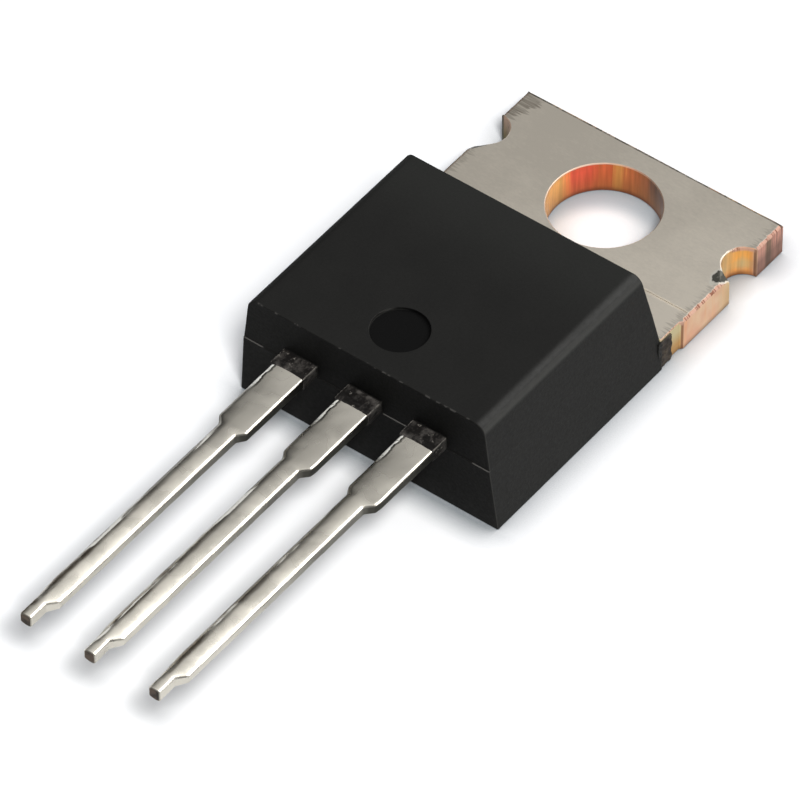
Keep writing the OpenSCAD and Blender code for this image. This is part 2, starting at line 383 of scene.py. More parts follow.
class Nodes:
    """Adds nodes to a tree, with their settings and links, in one call each."""

    def __init__(self, tree):
        self.tree = tree
        tree.nodes.clear()

    def put(self, kind, inputs=None, **settings):
        """A new node. Its settings come first, because they decide its sockets."""
        node = self.tree.nodes.new(kind)
        for key, value in settings.items():
            setattr(node, key, value)
        for key, value in (inputs or {}).items():
            self.feed(node.inputs[key], value)
        return node

    def feed(self, socket, value):
        """Links a value to an input, or sets the input to a constant."""
        value = getattr(value, "socket", value)
        if isinstance(value, bpy.types.NodeSocket):
            self.tree.links.new(value, socket)
        elif socket.type == "RGBA" and len(value) == 3:
            socket.default_value = (*value, 1.0)
        else:
            socket.default_value = value

    def outputs(self, kind, inputs=None, **settings):
        """All outputs of a new node, by name."""
        node = self.put(kind, inputs, **settings)
        return {socket.name: Value(self, socket) for socket in node.outputs}

    def output(self, kind, inputs, which=0, **settings):
        """One output of a new node."""
        return Value(self, self.put(kind, inputs, **settings).outputs[which])

    def math(self, operation, *values):
        """The result of a math node, for what arithmetic has no sign for."""
        return self.output(
            "ShaderNodeMath", dict(enumerate(values)), operation=operation
        )

    def distance(self, across, along):
        """How far a place lies from a centre, both ways taken together."""
        return self.math("SQRT", across ** 2.0 + along ** 2.0)

    def vector(self, operation, *values):
        inputs = {i: value for i, value in enumerate(values) if value is not None}
        return self.output("ShaderNodeVectorMath", inputs, operation=operation)

    def span(self, value, start, end, low=0.0, high=1.0, kind="LINEAR"):
        """Takes start to low and end to high, and goes no further."""
        return self.output("ShaderNodeMapRange", {
            "Value": value, "From Min": start, "From Max": end,
            "To Min": low, "To Max": high,
        }, interpolation_type=kind)

    def noise(self, vector, scale, detail=2.0, roughness=0.5):
        return self.output("ShaderNodeTexNoise", {
            "Vector": vector, "Scale": scale, "Detail": detail,
            "Roughness": roughness,
        })

    def blend(self, factor, one, other, kind="MIX"):
        """One colour where the factor is 0, the other where it is 1."""
        return self.output(
            "ShaderNodeMix", {0: factor, 6: one, 7: other}, 2, data_type="RGBA",
            blend_type=kind,
        )

    def split(self, vector):
        """The X, Y and Z of a vector."""
        return self.outputs("ShaderNodeSeparateXYZ", {0: vector}).values()

    def join(self, *values):
        """A vector from its X, Y and Z."""
        return self.output("ShaderNodeCombineXYZ", dict(enumerate(values)))


def group_tree(name, kind, inputs, outputs):
    """A new node group with named sockets: its nodes and its group input."""
    tree = bpy.data.node_groups.new(name, kind)
    for direction, sockets in (("INPUT", inputs), ("OUTPUT", outputs)):
        for label, socket_kind, default in sockets:
            socket = tree.interface.new_socket(
                label, in_out=direction, socket_type="NodeSocket" + socket_kind
            )
            if default is not None:
                socket.default_value = default
    nodes = Nodes(tree)
    return nodes, nodes.outputs("NodeGroupInput")


def drawn_lines():
    """Fine parallel lines, as rolling, drawing or shearing leaves them."""
    nodes, given = group_tree("Drawn lines", "ShaderNodeTree", [
        ("Place", "Vector", None), ("Stretch", "Vector", (1.0, 1.0, 1.0)),
        ("Scale", "Float", 20.0), ("Patches", "Float", 1.5),
    ], [("Lines", "Float", None), ("Patches", "Float", None)])
    drawn = nodes.vector("MULTIPLY", given["Place"], given["Stretch"])
    lines = nodes.noise(drawn, given["Scale"], 3.0, 0.65)
    patches = nodes.noise(given["Place"], given["Patches"], 2.0, 0.5)
    nodes.put("NodeGroupOutput", {
        "Lines": nodes.span(lines, 0.2, 0.8),
        "Patches": nodes.span(patches, 0.35, 0.65, kind="SMOOTHSTEP"),
    })
    return nodes.tree


def cast_grain():
    """Fine grain with broad, faint clouds, as on cast or moulded surfaces."""
    nodes, given = group_tree("Cast grain", "ShaderNodeTree", [
        ("Place", "Vector", None), ("Grain", "Float", 14.0),
        ("Clouds", "Float", 1.0),
    ], [("Grain", "Float", None), ("Clouds", "Float", None)])
    grain = nodes.noise(given["Place"], given["Grain"], 4.0, 0.7)
    clouds = nodes.noise(given["Place"], given["Clouds"], 3.0, 0.6)
    nodes.put("NodeGroupOutput", {
        "Grain": grain,
        "Clouds": nodes.span(clouds, 0.3, 0.7, kind="SMOOTHSTEP"),
    })
    return nodes.tree


def glint_edge():
    """A line along an edge, broken in places, that marks painted glints and highlights.
    """
    nodes, given = group_tree("Glint edge", "ShaderNodeTree", [
        ("Place", "Vector", None), ("Distance", "Float", 0.0),
        ("Width", "Float", 0.02), ("Scale", "Float", 2.0), ("Cover", "Float", 0.5),
    ], [("Glint", "Float", None)])
    near = nodes.span(
        abs(given["Distance"]), given["Width"] * 0.5, given["Width"], 1.0, 0.0
    )
    gaps = nodes.noise(given["Place"], given["Scale"], 3.0, 0.6)
    broken = nodes.span(gaps, given["Cover"] - 0.03, given["Cover"])
    nodes.put("NodeGroupOutput", {"Glint": near * broken})
    return nodes.tree


def facing():
    """How far a surface lies flat, and how far it faces each way."""
    nodes, given = group_tree("Facing", "ShaderNodeTree", [
        ("Start", "Float", 0.5), ("End", "Float", 0.8),
    ], [("Flat", "Float", None), ("Right", "Float", None), ("Back", "Float", None)])
    normal = nodes.outputs("ShaderNodeNewGeometry")["Normal"]
    right, back, up = nodes.split(normal)
    flat = nodes.span(abs(up), given["Start"], given["End"], kind="SMOOTHSTEP")
    nodes.put("NodeGroupOutput", {"Flat": flat, "Right": right, "Back": back})
    return nodes.tree


def shared(maker):
    """The node tree of a shared effect, built the first time it is asked for."""
    name = maker.__name__.replace("_", " ").capitalize()
    return bpy.data.node_groups.get(name) or maker()


class Finish(Nodes):
    """A material's nodes, ending in one surface shader."""

    def __init__(self, name):
        self.material = bpy.data.materials.new(name)
        self.material.use_nodes = True
        super().__init__(self.material.node_tree)
        place = self.outputs("ShaderNodeTexCoord")["Object"]
        self.place = self.vector("MULTIPLY", place, (1 / MM,) * 3)

    def effect(self, maker, **inputs):
        """The outputs of a shared effect, by name. It gets the piece's place."""
        tree = shared(maker)
        if "Place" in tree.interface.items_tree:
            inputs["Place"] = self.place
        return self.outputs("ShaderNodeGroup", inputs, node_tree=tree)

    def marks(self, stretch, *settings):
        """Noise over the piece, its place first multiplied axis by axis."""
        return self.noise(self.vector("MULTIPLY", self.place, stretch), *settings)

    def surface(self, base, roughness, height=None, rise=0.01, **sockets):
        """Ends the tree. rise is the relief's height in millimetres."""
        inputs = {"Base Color": base, "Roughness": roughness}
        inputs.update({key.replace("_", " "): value for key, value in sockets.items()})
        if height is not None:
            inputs["Normal"] = self.output("ShaderNodeBump", {
                "Height": height, "Strength": 1.0, "Distance": rise * MM,
            })
        shader = self.output("ShaderNodeBsdfPrincipled", inputs)
        self.put("ShaderNodeOutputMaterial", {"Surface": shader})
        return self.material


# ---- Finishes ----


def toned(colour, gain):
    """A colour made darker or lighter by a factor."""
    return [channel * gain for channel in colour]


def epoxy_finish(look, s, leads):
    """Matt black moulding compound, with painted glints on its thin edges and painted
    light and shade.
    """
    n = Finish("epoxy_mould")
    x, y, z = n.split(n.place)
    front = body_front(s)
    cast = n.effect(cast_grain, Grain=9.0, Clouds=0.7)
    turn = n.effect(facing, Start=0.1, End=0.9)
    base = n.blend(
        n.span(cast["Clouds"], 0.0, 1.0, 0.3, 0.7),
        toned(look.epoxy, 0.75), toned(look.epoxy, 1.3),
    )
    # Painted light: the top grows faintly lighter towards the tab
    painted_back_light = n.span(y, front + 4.5, front + 8.0, kind="SMOOTHSTEP")
    painted_back_light *= n.span(z, s.height - 0.2, s.height - 0.1)
    base = n.blend(painted_back_light * 0.5, base, (0.019, 0.0195, 0.0175))
    # The bottom of the ejector-pin recess is rougher and darker
    away = n.distance(x, y - front - s.recess_setback)
    pin = n.span(away, s.recess_radius, s.recess_radius + 0.01, 1.0, 0.0)
    pin *= n.span(z, s.height - 0.05, s.height - 0.02, 1.0, 0.0)
    base = n.blend(pin, base, (0.001, 0.001, 0.001))
    # Painted glints where thin flash lines the parting line and the front top edge
    nose = n.span(y, front - 0.05, front + 0.06, 1.0, 0.0)
    nose *= n.span(y, front - 0.06, front - 0.04)
    seam = n.effect(
        glint_edge, Distance=z - s.parting + 0.005, Width=0.02, Scale=0.6, Cover=0.51
    )["Glint"]
    seam *= n.span(abs(x + 1.3), 0.6, 0.7)
    brim = n.effect(
        glint_edge, Distance=z - s.height + 0.01, Width=0.03, Scale=2.6, Cover=0.6
    )["Glint"]
    flash = nose * n.math("MAXIMUM", seam, brim)
    base = n.blend(flash * 0.8, base, (0.13, 0.125, 0.115))
    # Resin that ran over the leads is thin, brown and specked
    film = n.span(y, front - 0.07, front - 0.03, 1.0, 0.0)
    torn = n.marks((1.0, 0.6, 1.0), 2.2, 5.0, 0.75)
    specks = n.span(torn, 0.47, 0.62)
    resin = n.blend(specks * 0.8, look.resin, (0.09, 0.082, 0.074))
    bright = n.span(n.noise(n.place, 5.0, 3.0, 0.75), 0.62, 0.70)
    # Painted highlight: a broken pale line along the upper corners of each collar
    across = abs(n.math("WRAP", x, leads.pitch / 2, -leads.pitch / 2))
    across -= leads.shoulder / 2 + s.collar_wall
    corner = n.effect(
        glint_edge, Distance=across, Width=0.05, Scale=2.4, Cover=0.46
    )["Glint"]
    high = leads.underside + leads.thickness
    corner *= n.span(z, high - 0.06, high - 0.02)
    bright = n.math("MAXIMUM", bright, corner) * 0.8
    resin = n.blend(bright, resin, (0.26, 0.24, 0.21))
    base = n.blend(film, base, resin)
    # The feet beside the tab are brown and broken
    toe = n.span(abs(x), 4.9, 4.95) * n.span(y, -s.back - 0.02, -s.back + 0.03)
    brown = n.blend(specks, (0.022, 0.015, 0.011), (0.12, 0.09, 0.06))
    base = n.blend(toe, base, brown)
    # Painted light: the right side is painted lighter, and a painted highlight runs
    # where it turns up
    painted_right_light = n.span(turn["Right"], 0.15, 0.35)
    base = n.blend(painted_right_light * 0.3, base, (0.021, 0.0205, 0.018))
    painted_band = n.span(turn["Right"], 0.66, 0.87) * n.span(turn["Right"], 0.992, 0.9)
    base = n.blend(painted_band, base, (0.038, 0.0375, 0.034))
    # Painted shade: the front face is darker between the leads
    painted_front_shade = n.span(turn["Back"], -0.6, -0.9) * n.span(abs(x - 1.0), 5.0, 2.5)
    painted_front_shade *= 1.0 - n.math("MAXIMUM", film, flash)
    base = n.blend(painted_front_shade * 0.6, base, (0.001, 0.001, 0.001))
    # Rounded edges are burnished and the flats are matt
    edge = n.span(turn["Right"], 0.16, 0.3) * n.span(turn["Right"], 0.985, 0.93)
    roughness = n.span(cast["Grain"], 0.3, 0.7, 0.56, 0.70)
    roughness = roughness - edge * 0.11 - film * 0.2 + pin * 0.4
    fine = n.noise(n.place, 30.0, 2.0)
    height = fine * 0.4 + cast["Grain"] + torn * film * 3.0
    return n.surface(base, roughness, height, rise=0.008, Specular_IOR_Level=0.20)


# Copper round the hole: degrees over which each colour comes in, and the colour
HOLE_SHADES = (
    (174, 165, (0.82, 0.25, 0.08)), (163, 156, (0.74, 0.115, 0.06)),
    (141, 132, (0.56, 0.125, 0.045)), (120, 115, (0.62, 0.27, 0.07)),
    (111, 106, (0.46, 0.135, 0.045)), (99, 88, (0.31, 0.11, 0.042)),
    (80, 68, (0.10, 0.050, 0.026)),
)


def tab_finish(look, s, body):
    """Satin nickel on the faces and streaked bare copper on the punched walls."""
    n = Finish("plated_copper")
    x, y, z = n.split(n.place)
    side = abs(x)
    face = n.effect(facing, Start=0.955, End=0.99)
    rolled = n.effect(drawn_lines, Stretch=(0.3, 1.0, 1.0), Scale=5.0, Patches=0.6)
    sheared = n.effect(drawn_lines, Stretch=(1.0, 1.0, 0.05), Scale=3.2, Patches=0.45)
    # The score line stays plated
    top, inside = s.thickness, s.half_width - s.side_roll
    score = n.span(abs(y + s.score), 0.06, 0.07, 1.0, 0.0)
    score *= n.span(z, top - 0.06, top - 0.05)
    score *= n.span(side, inside, inside - 0.02)
    flat = n.math("MAXIMUM", face["Flat"], score)
    # Nickel, with fine dark hatching across the outer ends of the ears
    # Painted light: the nickel grows lighter towards the right front
    light = n.span(x - y, -4.0, 7.0)
    cloud = (rolled["Patches"] - 0.5) * 0.3 + light
    grain = n.marks((0.5, 1.0, 1.0), 14.0, 2.0, 0.6)
    for lines, weight in ((grain, 0.8), (rolled["Lines"], 0.25)):
        cloud = (lines - 0.5) * weight + cloud
    nickel = n.blend(cloud, toned(look.nickel, 0.9), toned(look.nickel, 1.14))
    ragged = n.marks((0.3, 9.0, 1.0), 1.3, 2.0, 0.6)
    far_left = n.span(y, 1.3, 1.5) * n.span(x, -3.9, -4.0)
    reach = n.span(ragged, 0.3, 0.7, 5.0, 4.6)
    reach -= far_left * n.span(y, 1.4, 2.5, 0.1, 0.5)
    hatch = n.marks((0.4, 13.0, 1.0), 1.3, 2.0, 0.7)
    smear = n.span(side - reach, 0.0, 0.1) * n.span(hatch, 0.36, 0.6, 0.1, 0.55)
    smear *= far_left * 0.6 + 0.6
    nickel = n.blend(smear, nickel, (0.15, 0.125, 0.095))
    nickel = n.blend(score * 0.15, nickel, (0.12, 0.1, 0.08))
    # Copper: gold where it is thinly plated, red where it is bare
    tone = sheared["Patches"] * 0.5 + 0.15
    tone += (sheared["Lines"] - 0.5) * 0.5
    notch = n.span(side, 4.1, 4.2) * n.span(y, -0.3, -0.2)
    tone *= n.span(notch, 0.0, 1.0, 1.0, 0.1)
    copper = n.blend(tone, look.brass, look.copper)
    # Round the hole the copper runs from gold through red to dark brown
    bearing = math.pi + n.math("ARCTAN2", y * -1.0, x * -1.0)
    bearing = (sheared["Lines"] - 0.5) * 0.3 + bearing
    bore = (0.84, 0.44, 0.13)
    for first, last, shade in HOLE_SHADES:
        reached = n.span(bearing, math.radians(first), math.radians(last))
        bore = n.blend(reached, bore, shade)
    fine = n.marks((1.0, 1.0, 0.06), 7.0, 2.0, 0.6)
    fine = n.span(fine, 0.3, 0.7, 0.82, 1.16)
    # Painted shade: the wall darkens towards the floor
    bore = n.blend(n.span(z, 0.95, 0.25, 0.0, 0.55), bore, (0.20, 0.09, 0.028))
    bore = n.blend(1.0, bore, fine, kind="MULTIPLY")
    # Painted highlight: a pale line along the top of the far rim
    lit = n.span(bearing, math.radians(80), math.radians(140), 0.3, 0.9)
    lit *= n.span(z, top - 0.05, top - 0.035)
    bore = n.blend(lit, bore, (0.80, 0.61, 0.46))
    copper = n.blend(n.span(side, 2.1, 2.2, 1.0, 0.0), copper, bore)
    # The notch beside the sheared side is gold and orange with a dull patch
    orange = n.blend(n.span(y, 0.6, 1.0), (0.66, 0.44, 0.20), (0.80, 0.37, 0.08))
    patch = n.span(abs(y - 1.14), 0.0, 0.24) + n.span(abs(z - 0.5), 0.1, 0.4)
    orange = n.blend(n.span(patch, 0.0, 1.2, 0.7, 0.0), orange, (0.40, 0.40, 0.24))
    orange = n.blend(n.span(z, 0.45, 0.15, 0.0, 0.6), orange, (0.55, 0.19, 0.07))
    orange = n.blend(1.0, orange, fine, kind="MULTIPLY")
    copper = n.blend(notch * 0.9, copper, orange)
    # The outer sides are pink and cream in patches
    outer = n.span(side, s.half_width - 0.16, s.half_width - 0.05)
    outer *= n.span(sheared["Lines"], 0.2, 0.5, 0.55, 1.0)
    copper = n.blend(outer, copper, look.pink)
    blotch = n.marks((1.0, 1.0, 0.7), 1.3, 2.0, 0.5)
    blotch = n.span(blotch, 0.4, 0.62) * outer
    copper = n.blend(blotch * 0.6, copper, (0.8, 0.62, 0.4))
    olive = n.span(y, -0.9, -0.25, 0.0, 0.6) * outer
    copper = n.blend(olive, copper, (0.60, 0.46, 0.22))
    ear = n.span(y, 1.25, 1.4) * n.span(side, 4.5, 4.6)
    # Dark streaks on the ear's sides, with painted shade making them heavier low down
    streaks_and_low_shade = ear * n.span(sheared["Lines"], 0.1, 0.9, 0.5, 0.9)
    streaks_and_low_shade *= n.span(z, 0.55, 0.95, 1.0, 0.1)
    copper = n.blend(ear * 0.85, copper, (0.62, 0.29, 0.23))
    crease = n.span(abs(y - 1.97), 0.1, 0.22, 0.75, 0.0)
    copper = n.blend(crease * ear, copper, (0.15, 0.12, 0.07))
    copper = n.blend(streaks_and_low_shade, copper, (0.14, 0.085, 0.065))
    # Painted shade: a dark line down the edge where the notch meets the side
    notch_end = notch * n.span(side, 4.97, 5.02, 0.0, 0.85) * n.span(y, 1.0, 1.05)
    notch_end *= n.span(y, 1.33, 1.31)
    copper = n.blend(notch_end, copper, (0.12, 0.05, 0.03))
    # The neck is pale and brassy, and darker where it steps out to the ears
    shoulder = s.neck - body.back
    neck = n.span(y, shoulder - 0.03, shoulder + 0.07, 1.0, 0.0)
    pale = n.blend(n.span(z, 0.35, 0.9), (0.52, 0.30, 0.11), (0.61, 0.53, 0.30))
    copper = n.blend(neck, copper, pale)
    step = n.span(abs(y - shoulder - 0.03), 0.02, 0.04, 1.0, 0.0)
    copper = n.blend(step * 0.8, copper, (0.2, 0.085, 0.045))
    # Painted shade: the copper walls darken towards the floor, less at the outer sides
    foot = n.span(z, 0.02, 0.28, 0.85, 0.0, kind="SMOOTHSTEP")
    foot *= n.span(side, 4.6, 4.9, 1.0, 0.6)
    copper = n.blend(foot, copper, (0.10, 0.035, 0.018))
    # Painted shade: the left side, turned from the light, is dark and grey along its
    # edge
    painted_left_shade = n.blend(n.span(z, 0.4, 1.1), (0.20, 0.16, 0.08), (0.42, 0.29, 0.21))
    painted_left_shade = n.blend(n.span(side, 5.0, 5.05), painted_left_shade, (0.12, 0.115, 0.09))
    copper = n.blend(n.span(x, -4.1, -4.2), copper, painted_left_shade)
    # Rolled rims are rougher and darker, with teeth across them
    teeth = n.marks((0.4, 14.0, 0.3), 1.0, 2.0, 0.6)
    rim = n.span(face["Right"], 0.97, 0.9) * n.span(face["Right"], 0.1, 0.25)
    rim *= (1.0 - flat) * n.span(side, 3.9, 4.0)
    rim *= n.span(z, top - 0.18, top - 0.1)
    bite = n.span(teeth, 0.52, 0.62, 0.0, 0.85) * n.span(z, 0.5, 0.8)
    copper = n.blend(bite * ear, copper, (0.09, 0.05, 0.04))
    teeth = n.blend(n.span(teeth, 0.50, 0.60), (0.62, 0.38, 0.29), (0.24, 0.09, 0.06))
    copper = n.blend(rim * 0.9, copper, teeth)
    # Painted highlight: a pale line along the top rim of the notch
    brow = n.span(y, 1.0, 0.7) * n.span(side, 5.09, 5.0)
    brow = notch * brow * n.span(z, top - 0.06, top - 0.04)
    copper = n.blend(brow, copper, (0.95, 0.84, 0.70))
    base = n.blend(flat, copper, nickel)
    # The rolled edge along the free end is darker, unevenly along its length
    chips = n.marks((5.0, 1.0, 1.0), 1.0, 3.0, 0.7)
    brink = n.span(y, s.end - 0.12, s.end - 0.09)
    brink *= n.span(chips, 0.36, 0.58, 0.35, 0.95)
    brink *= n.span(z, top - 0.12, top - 0.08)
    base = n.blend(brink, base, (0.075, 0.07, 0.055))
    # Pressed corners by the notches: facets in painted shade, a pale torn lip round
    # them
    right = n.span(x, -1.0, 1.0)
    torn = n.noise(n.place, 3.0, 3.0, 0.7)
    press = n.distance(side - 4.82, y * 0.6 + 0.18)
    press = (torn - 0.5) * 0.3 + press
    high = n.span(z, top - 0.28, top - 0.24)
    lip = n.span(press, 0.29, 0.25) * high
    sunk = n.math("MAXIMUM", right, 1.0 - flat)
    # The lip is painted darker on the left, which is turned from the light
    rag = n.blend(right, (0.42, 0.37, 0.31), (0.80, 0.77, 0.68))
    base = n.blend(lip * sunk * 0.8, base, rag)
    painted_dent_shade = n.span(press, 0.22, 0.19) * high * sunk
    dull = n.blend(n.span(torn, 0.54, 0.62), (0.04, 0.043, 0.035), (0.15, 0.15, 0.125))
    base = n.blend(painted_dent_shade * 0.92, base, dull)
    wall = n.span(sheared["Lines"], 0.0, 1.0, 0.38, 0.52)
    roughness = wall + (0.36 - wall) * flat + rim * 0.3 + score * 0.4
    height = sheared["Lines"] * (1.0 - flat) + rolled["Lines"] * flat * 0.12
    # Bare copper is dull enough to scatter light
    metallic = n.span(flat, 0.0, 1.0, 0.3, 1.0)
    return n.surface(
        base, roughness, height, rise=0.006, Metallic=metallic,
        Specular_IOR_Level=0.07,
    )


def tin_finish(look, s, body):
    """Bright tin plate, darker near the body, with a painted reflection darkening the
    rough sides, and bare cut ends.
    """
    n = Finish("tinned_lead")
    x, y, _ = n.split(n.place)
    # How far a place lies out from the body's front
    out = body_front(body) - y
    drawn = n.effect(drawn_lines, Stretch=(1.0, 0.2, 1.0), Scale=2.6, Patches=1.1)
    turn = n.effect(facing, Start=0.2, End=0.6)
    # The tin is darker near the body and lighter out towards the tips
    brighter_outward = n.span(out, 2.93, 12.43)
    brighter_outward = (drawn["Patches"] - 0.5) * 0.3 + brighter_outward
    base = n.blend(brighter_outward, toned(look.tin, 0.80), toned(look.tin, 1.36))
    # Sheared sides are rough, and near the body painted dark as a painted reflection
    sheared = (1.0 - turn["Flat"]) * n.span(turn["Right"], 0.35, 0.55)
    sheared *= n.span(out, 4.03, 3.73, 0.25, 1.0)
    base = n.blend(sheared * 0.9, base, (0.062, 0.062, 0.051))
    # Painted shade: the left edges, turned from the light, are darker
    left = n.span(turn["Right"], -0.10, -0.32, 0.0, 0.4)
    base = n.blend(left, base, (0.24, 0.225, 0.19))
    # Brown patches along the left edges towards the tips: stains and painted shade
    stain_and_shade = n.marks((1.0, 0.35, 1.0), 2.3, 4.0, 0.65)
    stain_and_shade = n.span(stain_and_shade, 0.42, 0.54) * n.span(turn["Right"], -0.06, -0.25)
    stain_and_shade *= n.span(out, 5.93, 10.43)
    base = n.blend(stain_and_shade * 0.75, base, (0.15, 0.105, 0.06))
    # The rounded edge round each tip is darker
    tipped = n.span(y, -s.reach + 0.1, -s.reach + 0.08)
    rounded = n.span(turn["Back"], -0.2, -0.6, 0.0, 0.7) * tipped
    base = n.blend(rounded, base, (0.25, 0.23, 0.19))
    # The cut ends are bare and tarnished
    cut = n.span(turn["Back"], -0.8, -0.97) * tipped
    bare = n.span(n.noise(n.place, 3.0, 2.0, 0.5), 0.42, 0.58)
    bare = n.blend(bare, (0.022, 0.018, 0.012), (0.085, 0.060, 0.043))
    base = n.blend(cut, base, bare)
    # Where the resin ends, a burr on each left edge: a painted highlight, a painted
    # shadow inside it
    edge = n.math("WRAP", x, s.pitch / 2, -s.pitch / 2) + s.shoulder / 2
    wander = n.marks((0.0, 1.0, 0.0), 2.2, 3.0, 0.6)
    edge = (wander - 0.5) * 0.3 + edge
    near = n.span(out, 2.13, 1.73) * turn["Flat"]
    groove = near * n.span(edge, 0.27, 0.23)
    base = n.blend(groove * 0.8, base, (0.06, 0.055, 0.045))
    painted_edge_highlight = near * n.span(edge, 0.18, 0.16) * n.span(wander, 0.4, 0.46)
    # Farther out a painted highlight runs along the left edges here and there
    painted_outer_highlight = n.marks((1.0, 0.15, 0.0), 3.0, 2.0, 0.5)
    painted_outer_highlight = n.span(painted_outer_highlight, 0.5, 0.56) * n.span(turn["Right"], -0.28, -0.34)
    painted_outer_highlight *= n.span(out, 3.93, 4.43)
    painted_edge_highlight = n.math("MAXIMUM", painted_edge_highlight, painted_outer_highlight * 0.9)
    base = n.blend(painted_edge_highlight, base, (0.95, 0.93, 0.85))
    roughness = n.span(drawn["Patches"], 0.0, 1.0, 0.22, 0.32)
    roughness += sheared * 0.2
    # The plating climbs towards the resin, which lifts its shine off the body
    climb = n.span(out, 1.73, 0.73) ** 2.0 * 60.0
    height = drawn["Lines"] + climb * turn["Flat"]
    return n.surface(base, roughness, height, rise=0.0016, Metallic=1.0 - painted_edge_highlight)


def solder_finish():
    """Satin soft solder, faintly clouded."""
    n = Finish("soft_solder")
    cast = n.effect(cast_grain, Grain=12.0, Clouds=2.0)
    base = n.blend(cast["Clouds"], (0.36, 0.37, 0.39), (0.50, 0.51, 0.53))
    roughness = n.span(cast["Grain"], 0.3, 0.7, 0.3, 0.5)
    return n.surface(base, roughness, cast["Grain"], rise=0.006, Metallic=1.0)


def silicon_finish():
    """Dark polished silicon."""
    n = Finish("silicon")
    cast = n.effect(cast_grain, Grain=20.0, Clouds=1.5)
    base = n.blend(cast["Clouds"], (0.09, 0.10, 0.15), (0.14, 0.16, 0.20))
    roughness = n.span(cast["Grain"], 0.3, 0.7, 0.12, 0.2)
    return n.surface(base, roughness, cast["Grain"], rise=0.001, Metallic=0.4)


def wire_finish():
    """Bright drawn aluminium wire."""
    n = Finish("bond_wire")
    drawn = n.effect(drawn_lines, Scale=16.0, Patches=2.0)
    base = n.blend(drawn["Patches"], (0.74, 0.73, 0.70), (0.82, 0.81, 0.78))
    roughness = n.span(drawn["Lines"], 0.0, 1.0, 0.18, 0.3)
    return n.surface(base, roughness, drawn["Lines"], rise=0.003, Metallic=1.0)


# ---- Moulded body ----


def lean(degrees):
    """How far a drafted face moves in for each unit that it rises."""
    return math.tan(math.radians(degrees))


def upright_inset(z, height, radius, draft):
    """Inset at height z of a drafted face that ends in a rounded upper edge.

    The face starts at height 0 with no inset.
    """
    turn = math.radians(draft)
    centre = height - radius
    bend = centre + radius * math.sin(turn)
    inset = max(min(z, bend), 0) * math.tan(turn)
    if z > bend:
        inset += radius * math.cos(turn) - math.sqrt(
            max(radius ** 2 - (z - centre) ** 2, 0)
        )
    return inset


def body_levels(s, tab_top):
    """Heights of the body's slices, with the half width, front and back at each."""
    front = body_front(s)
    # Drafts in degrees: the sides under and over the parting line, front and back
    under_draft, over_draft, front_draft, back_draft = 5.5, 7, 3, 11
    step = 0.012
    heights = {0.0, s.edge_round / 3, s.edge_round, tab_top, s.parting}
    heights |= {s.parting - step, s.parting - step / 2, s.parting + 0.02}
    for radius, count in ((s.side_round, 14), (s.back_round, 6), (s.edge_round, 4)):
        heights |= {
            s.height - radius * (1 - math.sin(math.pi / 2 * i / count))
            for i in range(count + 1)
        }
    levels = []
    for z in sorted(heights):
        under = max(s.edge_round - z, 0)
        foot = s.edge_round - math.sqrt(s.edge_round ** 2 - under ** 2)
        low = min(z, s.parting)
        over = max(z - s.parting, 0)
        top = s.height - s.parting
        shift = min(max((z - s.parting + step) / step, 0), 1)
        side = (
            low * lean(under_draft) + shift * s.side_ledge + foot
            + (upright_inset(over, top, s.side_round, over_draft) if over else 0)
        )
        nose = (
            (s.parting - low) * lean(front_draft) + (shift - 1) * s.ledge + foot
            + (upright_inset(over, top, s.edge_round, 0) if over else 0)
        )
        rear = foot + upright_inset(
            max(z - tab_top, 0), s.height - tab_top, s.back_round, back_draft
        )
        levels.append((z, s.half_width - side, front + nose, -s.back - rear))
    return levels


def slice_ring(half, front, back, corner, counts=(90, 70, 5)):
    """Points round a rectangle with rounded corners, always as many."""
    across, along, bends = counts
    arcs = []
    quarter = math.radians(90)
    for turn, (x, y) in enumerate((
        (half, back), (-half, back), (-half, front), (half, front)
    )):
        centre = (x - math.copysign(corner, x), y + (corner if y == front else -corner))
        bend = arc(centre, corner, quarter * turn, quarter, bends)
        arcs.append([Vector(point) for point in bend])
    ring = []
    for bend, after, count in zip(arcs, arcs[1:] + arcs[:1], (across, along) * 2):
        ring += bend
        ring += [bend[-1].lerp(after[0], i / count) for i in range(1, count)]
    return ring


def body_block(s, tab_top):
    """The drafted block: rounded slices, with fine chips along the front edge."""
    bm = bmesh.new()
    rows = []
    levels = body_levels(s, tab_top)
    z, half, front, back = levels[-1]
    margin, chip_depth, chip_reach = 0.15, 0.022, 0.06
    levels.append((z, half - margin, front + margin, back - margin))
    for z, half, front, back in levels:
        row = []
        for x, y in slice_ring(half, front, back, corner=0.05):
            chip = max(noise.fractal(Vector((x * 3.1, y, z * 9)), 1.0, 2.0, 3), 0)
            chip *= chip_depth * max(0, 1 - (s.height - z) / chip_reach)
            if y >= front + 0.02 or half < levels[-2][1]:
                chip = 0
            row.append(bm.verts.new((x, y + chip, z - chip)))
        rows.append(row)
    return capped("moulded_body", bm, rows)


